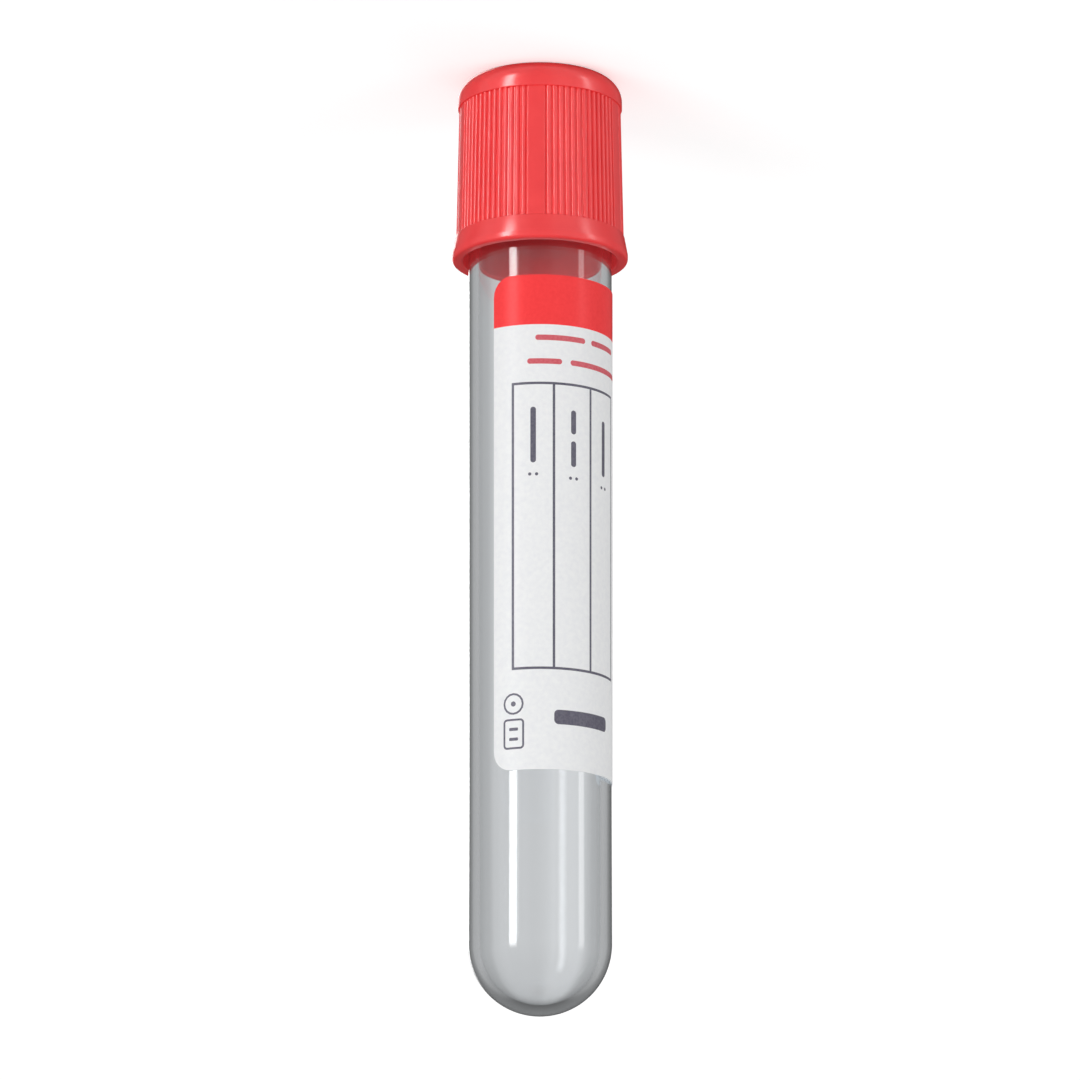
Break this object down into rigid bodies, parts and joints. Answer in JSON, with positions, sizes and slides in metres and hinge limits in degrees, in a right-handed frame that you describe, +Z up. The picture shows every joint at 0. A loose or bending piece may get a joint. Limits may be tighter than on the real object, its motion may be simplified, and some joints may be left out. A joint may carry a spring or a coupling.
{
  "type": "blood collection tube",
  "caption": "Clear round-bottomed sample tube with a rubber stopper, a ribbed red cap and a printed paper label, standing on its cap.",
  "frame": {"origin": "centre of the cap's flat end, which the part stands on", "axes": "+Z up along the tube's axis, from the cap to the round end; -Y is the front, with the label turned 37 degrees from it towards -X"},
  "size_m": [0.0196, 0.0196, 0.106],
  "materials": {
    "clear_plastic": "clear and glossy",
    "stopper_rubber": "matt",
    "red_plastic": "satin gloss",
    "label_paper": "coated paper with a red band and grey ruled lines"
  },
  "bodies": {
    "closure": {"safety_cap": "red_plastic", "rubber_stopper": "stopper_rubber"},
    "tube": {"tube_body": "clear_plastic", "paper_label": "label_paper"}
  },
  "joints": [
    {"name": "tube_pull", "type": "slide", "parent": "closure", "child": "tube", "axis": [0, 0, 1], "range_m": [0, 0.04]}
  ]
}
